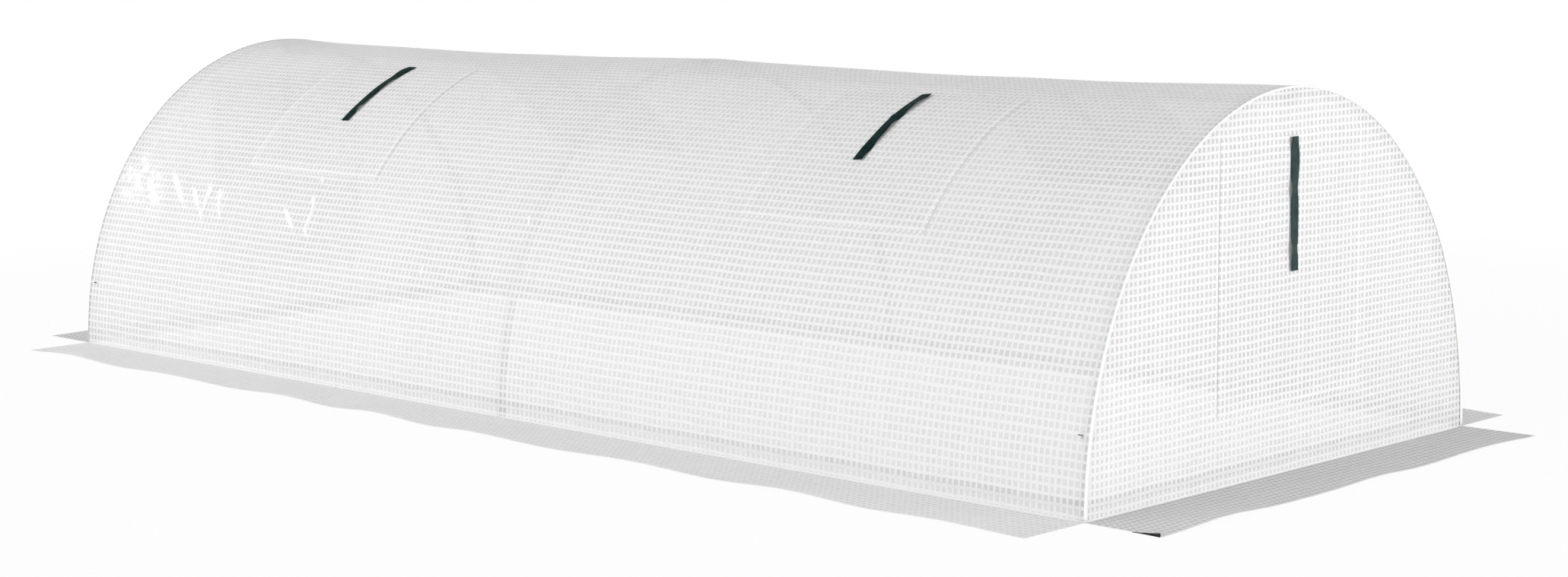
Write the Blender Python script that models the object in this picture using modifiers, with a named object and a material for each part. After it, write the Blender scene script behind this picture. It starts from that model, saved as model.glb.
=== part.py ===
"""Tunnel mini greenhouse: three tube hoops under a translucent grid film, roll-up windows and ground skirts.

The frame's origin is on the ground under the middle hoop. X runs along the tunnel and its front end is
at +X. The near long side is at -Y and the far one at +Y. Z points up.
"""

import math

import bmesh
import bpy
from mathutils import Matrix, Vector

# Cover, measured over the film and without the ground skirts
COVER_LENGTH = 3.0
COVER_WIDTH = 1.2
COVER_HEIGHT = 0.7
FILM = 0.001
RIDGE_SAG = 0.010
SKIRT_WIDTH = 0.16
SKIRT_WAVE_HEIGHT = 0.006
SKIRT_WAVE_PITCH = 0.4
BINDING_WIDTH = 0.007
BINDING_THICKNESS = 0.0008

# Tube frame
TUBE_RADIUS = 0.008
TUBE_WALL = 0.0008
SPIGOT_LENGTH = 0.030
SPIGOT_CLEARANCE = 0.0007
BLOCK_HALF = 0.0074
BLOCK_EDGE = 0.0012
BASE_TUBE_HEIGHT = 0.027
RIDGE_TUBE_DROP = 0.0175

# Side windows: lengths along the slope are measured from the ridge
WINDOW_CENTRE = 0.79
WINDOW_WIDTH = 0.47
WINDOW_TOP_FROM_RIDGE = 0.172
WINDOW_DROP = 0.384
WINDOW_BORDER = 0.028
WINDOW_TOP_BORDER = 0.014

# End windows
END_WINDOW_WIDTH = 0.45
END_WINDOW_DROP = 0.49
END_WINDOW_TOP_FROM_RIDGE = 0.082
END_WINDOW_BORDER = 0.025
END_WINDOW_BOTTOM_BORDER = 0.058
END_WINDOW_TOP_BORDER = 0.034

# Insect screens behind the window openings
SCREEN = 0.0008
SCREEN_OVERLAP = 0.010

# Tie straps
STRAP_WIDTH = 0.025
STRAP_THICKNESS = 0.0012
SIDE_STRAP_LENGTH = 0.223
END_STRAP_LENGTH = 0.243
STRAP_BELOW_HEM = 0.008
STRAP_RIPPLE = 0.003
STRAP_RIPPLES = 2.5

# How far along X each side strap's sewn top end and its free end are from the middle of its window
SIDE_STRAP_SHIFTS = {
    "front_near": (-0.008, -0.016),
    "rear_near": (0.012, 0.0),
    "front_far": (0.0, 0.0),
    "rear_far": (0.0, 0.0),
}

# Ties that hold the cover to the end hoops
TIE_HEIGHT = 0.146
TIE_WIDTH = 0.012
TIE_THICKNESS = 0.0012

# Webbing tab under the front skirt
TAB_LENGTH = 0.058
TAB_HEIGHT = 0.0075
TAB_THICKNESS = 0.0015
TAB_FROM_EDGE = 0.004

# Clearance between pieces that touch on the real object
GAP = 0.0003
STRAP_GAP = 0.0005

# How finely the curved sheets and tubes are divided
ARCH_STEP = 6.0
LENGTH_STEP = 0.25
CLOSEST_STOPS = 0.3
TUBE_BEVEL_RESOLUTION = 2
STRAP_STEPS = 12
SKIRT_STEPS_PER_WAVE = 6
SKIRT_STEPS_ACROSS = 2
TIE_ARC_STEPS = 6

HALF_LENGTH = COVER_LENGTH / 2
HALF_WIDTH = COVER_WIDTH / 2
TUBE_INSET = FILM + GAP + TUBE_RADIUS
END_HOOP_X = HALF_LENGTH - TUBE_INSET
BORE_RADIUS = TUBE_RADIUS - TUBE_WALL
SPIGOT_RADIUS = BORE_RADIUS - SPIGOT_CLEARANCE
TUBE_START = max(BLOCK_HALF, TUBE_RADIUS) + GAP

WHITE_FILM = ((0.86, 0.87, 0.87), 0.45, 0.0)
GREY_FILM = ((0.62, 0.63, 0.63), 0.5, 0.0)
WHITE_BINDING = ((0.93, 0.93, 0.93), 0.5, 0.0)
SCREEN_NET = ((0.72, 0.74, 0.73), 0.7, 0.0)
GREEN_WEBBING = ((0.03, 0.07, 0.065), 0.75, 0.0)
BLACK_WEBBING = ((0.015, 0.02, 0.02), 0.8, 0.0)
GALVANISED_STEEL = ((0.66, 0.67, 0.68), 0.5, 0.65)
GREY_PLASTIC = ((0.51, 0.53, 0.53), 0.5, 0.0)

ENDS = {"front": 1, "rear": -1}
SIDES = {"near": -1, "far": 1}


def clear_scene():
    for old in list(bpy.data.objects):
        bpy.data.objects.remove(old, do_unlink=True)


def new_collection(name):
    found = bpy.data.collections.get(name)
    if found is None:
        found = bpy.data.collections.new(name)
        bpy.context.scene.collection.children.link(found)
    return found


clear_scene()
GREENHOUSE = new_collection("mini_greenhouse")
CUTTERS = new_collection("joined_and_cut_away")


def add_material(obj, look):
    """Give the object its own Principled material."""
    colour, roughness, metallic = look
    material = bpy.data.materials.new(obj.name)
    material.use_nodes = True
    surface = material.node_tree.nodes["Principled BSDF"]
    surface.inputs["Base Color"].default_value = (*colour, 1.0)
    surface.inputs["Roughness"].default_value = roughness
    surface.inputs["Metallic"].default_value = metallic
    obj.data.materials.clear()
    obj.data.materials.append(material)


def add_object(name, data, look=None, collection=GREENHOUSE):
    obj = bpy.data.objects.new(name, data)
    collection.objects.link(obj)
    if look is not None:
        add_material(obj, look)
    return obj


# The arch: a half ellipse from the near ground line over the ridge to the far one


def arch_point(angle):
    """Place on the cover's outline, as (y, z). The angle is 0 at the near foot, 90 degrees at the ridge."""
    return -HALF_WIDTH * math.cos(angle), COVER_HEIGHT * math.sin(angle)


def arch_normal(angle):
    """Outward normal of the cover's outline, as (y, z)."""
    across = -math.cos(angle) / HALF_WIDTH
    up = math.sin(angle) / COVER_HEIGHT
    size = math.hypot(across, up)
    return across / size, up / size


def offset_arch_point(angle, inset):
    y, z = arch_point(angle)
    normal_y, normal_z = arch_normal(angle)
    return y - inset * normal_y, z - inset * normal_z


def arch_speed(angle):
    """Length of arch for each radian of angle."""
    return math.hypot(HALF_WIDTH * math.sin(angle), COVER_HEIGHT * math.cos(angle))


def angle_below_ridge(distance, steps=200):
    """Angle of the place on the near side that is this far from the ridge along the arch."""
    angle = math.pi / 2
    for _ in range(steps):
        angle -= distance / steps / arch_speed(angle)
    return angle


def bay_sag(x):
    """How far the film hangs in between the hoops, as a share of its most."""
    bay = END_HOOP_X
    along = min(abs(x) / bay, 1.0)
    return 4 * along * (1 - along)


def cover_point(x, angle, lift=0.0):
    """Place on the outside of the roof cover, moved out along the arch's normal by lift."""
    sag = RIDGE_SAG * bay_sag(x) * math.sin(angle) ** 2
    y, z = offset_arch_point(angle, sag - lift)
    return Vector((x, y, z))


def stops(low, high, step, wanted):
    """Divisions between low and high: all the wanted ones, and even ones that are not too near to those."""
    kept = sorted({low, high, *(value for value in wanted if low < value < high)})
    count = max(1, round((high - low) / step))
    for index in range(1, count):
        value = low + (high - low) * index / count
        if min(abs(value - other) for other in kept) > CLOSEST_STOPS * step:
            kept.append(value)
    return sorted(kept)


def within(values, low, high):
    return [value for value in values if low - 1e-9 <= value <= high + 1e-9]


def mirrored(angles):
    """The same angles on the far side too."""
    return sorted({*angles, *(math.pi - angle for angle in angles)})


# Angles on the near side that the frame and the cover share

FOOT_ANGLE = math.asin(BASE_TUBE_HEIGHT / COVER_HEIGHT)
HOOP_START = FOOT_ANGLE + TUBE_START / arch_speed(0)
FOOT_SPIGOT_END = HOOP_START + SPIGOT_LENGTH / arch_speed(0)
RIDGE_ANGLE = math.pi / 2
HOOP_END = RIDGE_ANGLE - TUBE_START / (arch_speed(RIDGE_ANGLE) - TUBE_INSET)
RIDGE_SPIGOT_END = HOOP_END - SPIGOT_LENGTH / arch_speed(RIDGE_ANGLE)

FLAP_TOP = angle_below_ridge(WINDOW_TOP_FROM_RIDGE)
FLAP_BOTTOM = angle_below_ridge(WINDOW_TOP_FROM_RIDGE + WINDOW_DROP)
HOLE_TOP = angle_below_ridge(WINDOW_TOP_FROM_RIDGE + WINDOW_TOP_BORDER)
HOLE_BOTTOM = angle_below_ridge(WINDOW_TOP_FROM_RIDGE + WINDOW_DROP - WINDOW_BORDER)
SCREEN_TOP = angle_below_ridge(WINDOW_TOP_FROM_RIDGE + WINDOW_TOP_BORDER - SCREEN_OVERLAP)
SCREEN_BOTTOM = angle_below_ridge(WINDOW_TOP_FROM_RIDGE + WINDOW_DROP - WINDOW_BORDER + SCREEN_OVERLAP)
STRAP_TOP = angle_below_ridge(WINDOW_TOP_FROM_RIDGE + STRAP_BELOW_HEM)
STRAP_BOTTOM = angle_below_ridge(WINDOW_TOP_FROM_RIDGE + STRAP_BELOW_HEM + SIDE_STRAP_LENGTH)

FLAP_ANGLES = [FLAP_BOTTOM, FLAP_TOP]
OPENING_ANGLES = [SCREEN_BOTTOM, HOLE_BOTTOM, HOLE_TOP, SCREEN_TOP]
SPIGOT_ANGLES = [HOOP_START, FOOT_SPIGOT_END, RIDGE_SPIGOT_END, HOOP_END]
NEAR_ANGLES = stops(
    0.0, RIDGE_ANGLE, math.radians(ARCH_STEP), SPIGOT_ANGLES + FLAP_ANGLES + OPENING_ANGLES
)
COVER_ANGLES = mirrored(NEAR_ANGLES)
HOOP_STOPS = [
    angle for angle in within(NEAR_ANGLES, HOOP_START, HOOP_END) if angle not in OPENING_ANGLES
]


def window_edges(inset):
    """X of the left and right edges of both windows in a long side, moved in by inset."""
    half = WINDOW_WIDTH / 2 - inset
    return [end * WINDOW_CENTRE + side * half for end in ENDS.values() for side in (-1, 1)]


COVER_XS = stops(
    -HALF_LENGTH,
    HALF_LENGTH,
    LENGTH_STEP,
    [0.0]
    + window_edges(0.0)
    + window_edges(WINDOW_BORDER)
    + window_edges(WINDOW_BORDER - SCREEN_OVERLAP),
)


# Shapes


def grid_sheet(name, us, vs, place, thickness, look, skip=None, origin=None):
    """A sheet over the grid us by vs. place gives its outer face, and the thickness goes inward from it."""
    origin = origin or Vector((0, 0, 0))
    mesh = bpy.data.meshes.new(name)
    work = bmesh.new()
    bmesh.ops.create_grid(work, x_segments=len(us) - 1, y_segments=len(vs) - 1, size=1.0)
    def cell(spot):
        """Column and row of a place on the unit grid, counted from its corner."""
        return (spot.x + 1) / 2 * (len(us) - 1), (spot.y + 1) / 2 * (len(vs) - 1)

    if skip is not None:
        dropped = []
        for face in work.faces:
            column, row = (int(number) for number in cell(face.calc_center_median()))
            if skip((us[column] + us[column + 1]) / 2, (vs[row] + vs[row + 1]) / 2):
                dropped.append(face)
        bmesh.ops.delete(work, geom=dropped, context="FACES")
    for vert in work.verts:
        column, row = (round(number) for number in cell(vert.co))
        vert.co = place(us[column], vs[row]) - origin
    work.to_mesh(mesh)
    work.free()
    obj = add_object(name, mesh, look)
    obj.location = origin
    shell = obj.modifiers.new("thickness", "SOLIDIFY")
    shell.thickness = thickness
    shell.offset = -1.0
    shell.use_even_offset = True
    return obj


def poly_curve(name, loops, dimensions, cyclic):
    curve = bpy.data.curves.new(name, "CURVE")
    curve.dimensions = dimensions
    for points in loops:
        spline = curve.splines.new("POLY")
        spline.points.add(len(points) - 1)
        for point, place in zip(spline.points, points):
            point.co = (*place, *([0.0] * (3 - len(place))), 1.0)
        spline.use_cyclic_u = cyclic
    return curve


def flat_plate(name, loops, thickness, look, turn):
    """A plate from closed outlines, the first with the others as its openings. turn places it."""
    curve = poly_curve(name, loops, "2D", True)
    curve.fill_mode = "BOTH"
    curve.extrude = thickness / 2
    obj = add_object(name, curve, look)
    obj.matrix_world = turn
    return obj


def hollow_tube(name, points, look=GALVANISED_STEEL):
    curve = poly_curve(name, [points], "3D", False)
    curve.bevel_depth = TUBE_RADIUS
    curve.bevel_resolution = TUBE_BEVEL_RESOLUTION
    obj = add_object(name, curve, look)
    wall = obj.modifiers.new("wall", "SOLIDIFY")
    wall.thickness = TUBE_WALL
    wall.offset = -1.0
    return obj


def solid_rod(name, points, radius):
    """A round rod as a mesh, with its end caps welded on."""
    curve = poly_curve(name, [points], "3D", False)
    curve.bevel_depth = radius
    curve.bevel_resolution = TUBE_BEVEL_RESOLUTION
    curve.use_fill_caps = True
    drawn = add_object(name, curve, collection=CUTTERS)
    bpy.context.view_layer.update()
    shape = drawn.evaluated_get(bpy.context.evaluated_depsgraph_get())
    mesh = bpy.data.meshes.new_from_object(shape)
    place = drawn.matrix_world.copy()
    bpy.data.objects.remove(drawn, do_unlink=True)
    work = bmesh.new()
    work.from_mesh(mesh)
    bmesh.ops.remove_doubles(work, verts=work.verts, dist=1e-6)
    bmesh.ops.recalc_face_normals(work, faces=work.faces)
    work.to_mesh(mesh)
    work.free()
    rod = add_object(name, mesh, collection=CUTTERS)
    rod.matrix_world = place
    rod.hide_render = True
    rod.display_type = "WIRE"
    return rod


def box_mesh(name, low, high):
    mesh = bpy.data.meshes.new(name)
    work = bmesh.new()
    bmesh.ops.create_cube(work, size=1.0)
    for vert in work.verts:
        vert.co = Vector(
            (high[axis] + low[axis]) / 2 + vert.co[axis] * (high[axis] - low[axis]) for axis in range(3)
        )
    work.to_mesh(mesh)
    work.free()
    return mesh


def connector(name, low, high, rods):
    """A block with spigots, one for each tube that is pushed on it."""
    centre = (Vector(low) + Vector(high)) / 2
    half = (Vector(high) - Vector(low)) / 2
    obj = add_object(name, box_mesh(name, -half, half), GREY_PLASTIC)
    obj.location = centre
    edge = obj.modifiers.new("edges", "BEVEL")
    edge.width = BLOCK_EDGE
    edge.segments = 1
    edge.limit_method = "ANGLE"
    for number, points in enumerate(rods):
        rod = solid_rod(f"{name}_spigot_{number}", points, SPIGOT_RADIUS)
        union = obj.modifiers.new(f"spigot_{number}", "BOOLEAN")
        union.operation = "UNION"
        union.solver = "EXACT"
        union.object = rod
    return obj


# Frame


def hoop_place(x, side, angle):
    """Place on a hoop's centre line. side is -1 for the near half and 1 for the far half."""
    y, z = offset_arch_point(angle, TUBE_INSET)
    return (x, -side * y, z)


FOOT_Y, FOOT_Z = offset_arch_point(FOOT_ANGLE, TUBE_INSET)
RIDGE_HOOP_Z = offset_arch_point(RIDGE_ANGLE, TUBE_INSET)[1]
RIDGE_TUBE_Z = RIDGE_HOOP_Z - RIDGE_TUBE_DROP
HOOP_XS = {"front": END_HOOP_X, "middle": 0.0, "rear": -END_HOOP_X}


def build_hoops():
    for name, x in HOOP_XS.items():
        for side_name, side in SIDES.items():
            points = [hoop_place(x, side, angle) for angle in HOOP_STOPS]
            hollow_tube(f"hoop_{name}_{side_name}", points)


def straight_spigot(start, direction):
    reach = BLOCK_HALF + SPIGOT_LENGTH
    return [tuple(start), tuple(Vector(start) + reach * Vector(direction))]


def foot_rods(x, side, directions):
    """Spigots of a connector at a hoop's foot: one up the hoop and one in each direction."""
    start = Vector((x, -side * FOOT_Y, FOOT_Z))
    up_angles = within(HOOP_STOPS, HOOP_START, FOOT_SPIGOT_END)
    up_hoop = [tuple(start)] + [hoop_place(x, side, angle) for angle in up_angles]
    return [up_hoop] + [straight_spigot(start, direction) for direction in directions]


def foot_block(x, side):
    """Low and high corners of the block, which stands on the ground."""
    y = -side * FOOT_Y
    low = (x - BLOCK_HALF, y - BLOCK_HALF, 0.0)
    high = (x + BLOCK_HALF, y + BLOCK_HALF, FOOT_Z + BLOCK_HALF)
    return low, high


def build_foot_connectors():
    for side_name, side in SIDES.items():
        for end_name, end in ENDS.items():
            x = end * END_HOOP_X
            rods = foot_rods(x, side, [(-end, 0, 0), (0, -side, 0)])
            connector(f"corner_connector_{end_name}_{side_name}", *foot_block(x, side), rods)
        rods = foot_rods(0.0, side, [(1, 0, 0), (-1, 0, 0)])
        connector(f"side_connector_{side_name}", *foot_block(0.0, side), rods)


def build_ridge_connectors():
    for name, x in HOOP_XS.items():
        low = (x - BLOCK_HALF, -BLOCK_HALF, RIDGE_TUBE_Z - BLOCK_HALF)
        high = (x + BLOCK_HALF, BLOCK_HALF, RIDGE_HOOP_Z + BLOCK_HALF)
        over_angles = mirrored(within(HOOP_STOPS, RIDGE_SPIGOT_END, HOOP_END))
        over = [hoop_place(x, -1, angle) for angle in over_angles]
        directions = [(-1, 0, 0), (1, 0, 0)] if name == "middle" else [(-ENDS[name], 0, 0)]
        start = (x, 0.0, RIDGE_TUBE_Z)
        rods = [over] + [straight_spigot(start, direction) for direction in directions]
        connector(f"ridge_connector_{name}", low, high, rods)


def build_straight_tubes():
    first = TUBE_START
    last = END_HOOP_X - TUBE_START
    for end_name, end in ENDS.items():
        ridge = [(end * first, 0.0, RIDGE_TUBE_Z), (end * last, 0.0, RIDGE_TUBE_Z)]
        hollow_tube(f"ridge_tube_{end_name}", ridge)
        reach = -FOOT_Y - TUBE_START
        x = end * END_HOOP_X
        hollow_tube(f"end_tube_{end_name}", [(x, -reach, FOOT_Z), (x, reach, FOOT_Z)])
        for side_name, side in SIDES.items():
            y = -side * FOOT_Y
            side_points = [(end * first, y, FOOT_Z), (end * last, y, FOOT_Z)]
            hollow_tube(f"base_tube_{side_name}_{end_name}", side_points)


# Cover


def in_window(x, angle):
    """True inside one of the four openings in the roof cover."""
    near_angle = min(angle, math.pi - angle)
    half = WINDOW_WIDTH / 2 - WINDOW_BORDER
    return abs(abs(x) - WINDOW_CENTRE) < half and HOLE_BOTTOM < near_angle < HOLE_TOP


def build_roof_cover():
    grid_sheet("cover_roof", COVER_XS, COVER_ANGLES, cover_point, FILM, WHITE_FILM, skip=in_window)


def end_outline(inset, bottom):
    """Closed half-ellipse outline in (y, z), moved in from the outside of the cover by inset."""
    arch = [offset_arch_point(angle, inset) for angle in COVER_ANGLES]
    raised = [place for place in arch if place[1] > bottom + GAP]
    return [(raised[0][0], bottom)] + raised + [(raised[-1][0], bottom)]


def across_tunnel(x):
    """Stand an outline drawn in (y, z) up across the tunnel at x."""
    return Matrix(((0, 0, 1, x), (1, 0, 0, 0), (0, 1, 0, 0), (0, 0, 0, 1)))


def rectangle(half_width, low, high):
    return [(-half_width, low), (half_width, low), (half_width, high), (-half_width, high)]


END_FLAP_TOP = COVER_HEIGHT - END_WINDOW_TOP_FROM_RIDGE
END_FLAP_BOTTOM = END_FLAP_TOP - END_WINDOW_DROP
END_HOLE_TOP = END_FLAP_TOP - END_WINDOW_TOP_BORDER
END_HOLE_BOTTOM = END_FLAP_BOTTOM + END_WINDOW_BOTTOM_BORDER
END_HOLE_HALF = END_WINDOW_WIDTH / 2 - END_WINDOW_BORDER


def build_end_panels():
    hole = rectangle(END_HOLE_HALF, END_HOLE_BOTTOM, END_HOLE_TOP)
    screen = rectangle(
        END_HOLE_HALF + SCREEN_OVERLAP, END_HOLE_BOTTOM - SCREEN_OVERLAP, END_HOLE_TOP + SCREEN_OVERLAP
    )
    for name, end in ENDS.items():
        panel_x = end * (HALF_LENGTH - FILM / 2)
        outline = end_outline(FILM + GAP, GAP)
        flat_plate(f"end_panel_{name}", [outline, hole], FILM, WHITE_FILM, across_tunnel(panel_x))
        screen_x = end * (HALF_LENGTH - FILM - GAP - SCREEN / 2)
        flat_plate(f"end_screen_{name}", [screen], SCREEN, SCREEN_NET, across_tunnel(screen_x))


def build_bindings():
    """A white tape over the end of the roof cover and the edge of the end panel, round the arch."""
    bottom = FILM + 2 * GAP
    outer = end_outline(0.0, bottom)
    inner = end_outline(BINDING_WIDTH, bottom)
    band = outer + inner[::-1]
    for name, end in ENDS.items():
        x = end * (HALF_LENGTH + GAP + BINDING_THICKNESS / 2)
        flat_plate(f"edge_binding_{name}", [band], BINDING_THICKNESS, WHITE_BINDING, across_tunnel(x))


def skirt_height(along, out, length):
    """Upper face of a skirt: flat at the wall, and in waves at its outer edge."""
    waves = max(1, round(length / SKIRT_WAVE_PITCH))
    wave = 0.5 - 0.5 * math.cos(2 * math.pi * waves * (along / length + 0.5))
    return FILM + GAP + SKIRT_WAVE_HEIGHT * wave * (out / SKIRT_WIDTH) ** 2


def build_skirts():
    """Flat strips on the ground, from just outside the foot of the cover. Their ends are square."""
    outs = [SKIRT_WIDTH * step / SKIRT_STEPS_ACROSS for step in range(SKIRT_STEPS_ACROSS + 1)]

    def alongs(length):
        count = SKIRT_STEPS_PER_WAVE * max(1, round(length / SKIRT_WAVE_PITCH))
        return [length * (step / count - 0.5) for step in range(count + 1)]

    for name, side in SIDES.items():

        def side_place(along, out):
            y = side * (HALF_WIDTH + GAP + out)
            return Vector((-side * along, y, skirt_height(along, out, COVER_LENGTH)))

        grid_sheet(f"skirt_{name}", alongs(COVER_LENGTH), outs, side_place, FILM, GREY_FILM)
    start = HALF_LENGTH + BINDING_THICKNESS + 2 * GAP
    for name, end in ENDS.items():

        def end_place(along, out):
            x = end * (start + out)
            return Vector((x, end * along, skirt_height(along, out, COVER_WIDTH)))

        grid_sheet(f"skirt_{name}", alongs(COVER_WIDTH), outs, end_place, FILM, GREY_FILM)


# Windows, their screens and their straps


def side_sheet(name, end, side, lift, half_width, low, high, thickness, look, origin=None):
    """A sheet that follows one window's part of the cover, lifted off it by lift."""
    centre = end * WINDOW_CENTRE
    xs = within(COVER_XS, centre - half_width, centre + half_width)
    angles = within(COVER_ANGLES, low, high)

    def place(x, angle):
        spot = cover_point(x, angle, lift)
        return Vector((spot.x, -side * spot.y, spot.z))

    if side > 0:
        xs = xs[::-1]
    return grid_sheet(name, xs, angles, place, thickness, look, origin=origin)


def flap_hinge(end, side):
    """Middle of a side flap's sewn top edge, level with the highest place along it."""
    edges = [end * WINDOW_CENTRE + half * WINDOW_WIDTH / 2 for half in (-1, 1)]
    highest = max((cover_point(x, FLAP_TOP, GAP + FILM) for x in edges), key=lambda spot: spot.z)
    return Vector((end * WINDOW_CENTRE, -side * highest.y, highest.z))


def build_side_windows():
    flap_half = WINDOW_WIDTH / 2
    screen_half = flap_half - WINDOW_BORDER + SCREEN_OVERLAP
    for end_name, end in ENDS.items():
        for side_name, side in SIDES.items():
            where = f"{end_name}_{side_name}"
            hinge = flap_hinge(end, side)
            flap = side_sheet(
                f"window_flap_{where}", end, side, GAP + FILM, flap_half,
                FLAP_BOTTOM, FLAP_TOP, FILM, WHITE_FILM, hinge,
            )
            side_sheet(
                f"window_screen_{where}", end, side, -FILM - GAP, screen_half,
                SCREEN_BOTTOM, SCREEN_TOP, SCREEN, SCREEN_NET,
            )
            build_side_strap(where, end, side, flap)


def build_side_strap(where, end, side, flap):
    """Webbing that hangs down a flap from just under its top hem. The near straps hang askew."""
    top_x, free_x = (end * WINDOW_CENTRE + shift for shift in SIDE_STRAP_SHIFTS[where])
    across = [side * STRAP_WIDTH / 2, -side * STRAP_WIDTH / 2]
    between = within(COVER_ANGLES, STRAP_BOTTOM, STRAP_TOP)
    angles = sorted({STRAP_BOTTOM, *between, STRAP_TOP})
    lift = FILM + GAP + STRAP_GAP + STRAP_THICKNESS
    top = cover_point(top_x, STRAP_TOP, lift)
    origin = Vector((top_x, -side * top.y, top.z))

    def place(from_middle, angle):
        down = (STRAP_TOP - angle) / (STRAP_TOP - STRAP_BOTTOM)
        middle = top_x + down * (free_x - top_x)
        spot = cover_point(middle + from_middle, angle, lift)
        return Vector((spot.x, -side * spot.y, spot.z))

    strap = grid_sheet(
        f"window_strap_{where}", across, angles, place, STRAP_THICKNESS, GREEN_WEBBING, origin=origin
    )
    strap.parent = flap
    strap.location = origin - flap.location


def build_end_windows():
    half = END_WINDOW_WIDTH / 2
    for name, end in ENDS.items():
        flap_x = end * (HALF_LENGTH + GAP + FILM / 2)
        outline = rectangle(half, -END_WINDOW_DROP, 0.0)
        turn = Matrix.Translation((0, 0, END_FLAP_TOP)) @ across_tunnel(flap_x)
        flap = flat_plate(f"end_flap_{name}", [outline], FILM, WHITE_FILM, turn)
        build_end_strap(f"end_strap_{name}", end, flap)


def build_end_strap(name, end, flap):
    """Webbing that hangs straight down the middle of an end flap, with a light ripple."""
    top = END_FLAP_TOP - STRAP_BELOW_HEM
    face = HALF_LENGTH + GAP + FILM + STRAP_GAP + STRAP_THICKNESS
    origin = Vector((end * (face - STRAP_THICKNESS / 2), 0.0, top))
    across = [-STRAP_WIDTH / 2, STRAP_WIDTH / 2]
    drops = [END_STRAP_LENGTH * (step / STRAP_STEPS - 1) for step in range(STRAP_STEPS + 1)]

    def place(y, drop):
        ripple = 0.5 - 0.5 * math.cos(2 * math.pi * STRAP_RIPPLES * drop / END_STRAP_LENGTH)
        return Vector((end * (face + STRAP_RIPPLE * ripple), end * y, top + drop))

    strap = grid_sheet(name, across, drops, place, STRAP_THICKNESS, GREEN_WEBBING, origin=origin)
    strap.parent = flap
    strap.matrix_parent_inverse = flap.matrix_world.inverted()


# Small webbing


def tie_outline():
    """A band round the inner side of a hoop tube, from the side wall to the end panel, in (x, y).

    The tube is at the origin, the end panel is at +X and the side wall is at -Y.
    """
    inner = TUBE_RADIUS + GAP
    outer = inner + TIE_THICKNESS
    reach = TUBE_RADIUS - GAP
    outside = [(-outer, -reach)]
    inside = [(-inner, -reach)]
    for step in range(TIE_ARC_STEPS + 1):
        angle = math.pi - math.pi / 2 * step / TIE_ARC_STEPS
        outside.append((outer * math.cos(angle), outer * math.sin(angle)))
        inside.append((inner * math.cos(angle), inner * math.sin(angle)))
    outside.append((reach, outer))
    inside.append((reach, inner))
    return outside + inside[::-1]


def build_frame_ties():
    angle = math.asin(TIE_HEIGHT / COVER_HEIGHT)
    for end_name, end in ENDS.items():
        for side_name, side in SIDES.items():
            place = Vector(hoop_place(end * END_HOOP_X, side, angle))
            normal_y, normal_z = arch_normal(angle)
            outward = Vector((0.0, -side * normal_y, normal_z))
            along_tube = Vector((end, 0, 0)).cross(-outward)
            axes = Matrix((Vector((end, 0, 0)), -outward, along_tube)).transposed().to_4x4()
            turn = Matrix.Translation(place) @ axes
            name = f"frame_tie_{end_name}_{side_name}"
            flat_plate(name, [tie_outline()], TIE_WIDTH, BLACK_WEBBING, turn)


def build_corner_tab():
    """Black webbing on edge under the near end of the front skirt, taller towards the skirt's corner."""
    outer_x = HALF_LENGTH + BINDING_THICKNESS + 2 * GAP + SKIRT_WIDTH - TAB_FROM_EDGE
    outline = [(0.0, GAP), (TAB_LENGTH, GAP), (TAB_LENGTH, TAB_HEIGHT), (0.0, FILM)]
    y = -HALF_WIDTH - GAP - TAB_THICKNESS / 2
    turn = Matrix(((1, 0, 0, outer_x - TAB_LENGTH), (0, 0, -1, y), (0, 1, 0, 0), (0, 0, 0, 1)))
    flat_plate("corner_tab", [outline], TAB_THICKNESS, BLACK_WEBBING, turn)


def shade_round_pieces():
    for obj in GREENHOUSE.objects:
        if obj.type == "MESH" and not obj.name.startswith(("corner_", "side_", "ridge_connector")):
            obj.data.shade_smooth()


build_hoops()
build_foot_connectors()
build_ridge_connectors()
build_straight_tubes()
build_roof_cover()
build_end_panels()
build_bindings()
build_skirts()
build_side_windows()
build_end_windows()
build_frame_ties()
build_corner_tab()
shade_round_pieces()
bpy.context.view_layer.update()
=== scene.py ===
"""Looks of the tunnel greenhouse: grid film stretched over tube hoops, roll-up windows, straps and skirts.

Everything is in metres. X runs along the tunnel with its front end at +X, the near side is at -Y, Z is up.
"""

import math

import bmesh
import bpy
import numpy as np
from mathutils import Matrix, Vector


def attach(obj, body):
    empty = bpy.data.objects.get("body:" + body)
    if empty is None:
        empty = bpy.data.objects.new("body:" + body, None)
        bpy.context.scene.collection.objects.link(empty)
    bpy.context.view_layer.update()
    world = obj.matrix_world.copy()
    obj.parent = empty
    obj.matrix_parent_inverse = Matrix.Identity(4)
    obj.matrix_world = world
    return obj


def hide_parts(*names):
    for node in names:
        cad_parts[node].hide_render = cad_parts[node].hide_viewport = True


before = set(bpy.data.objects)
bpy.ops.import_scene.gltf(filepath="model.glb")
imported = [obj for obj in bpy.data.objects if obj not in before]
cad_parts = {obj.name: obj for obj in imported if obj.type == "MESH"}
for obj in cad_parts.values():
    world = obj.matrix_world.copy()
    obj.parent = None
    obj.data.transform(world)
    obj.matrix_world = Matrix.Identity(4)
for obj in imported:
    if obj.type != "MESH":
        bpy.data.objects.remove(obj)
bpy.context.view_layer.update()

# Sizes of the cover, as in the solids
HALF_LENGTH = 1.5
HALF_WIDTH = 0.6
HEIGHT = 0.7
FILM = 0.001
GAP = 0.0003
RIDGE_SAG = 0.010
SKIRT_WIDTH = 0.16
PANEL_INSET = FILM + GAP
PANEL_FOOT = 0.0005

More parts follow.
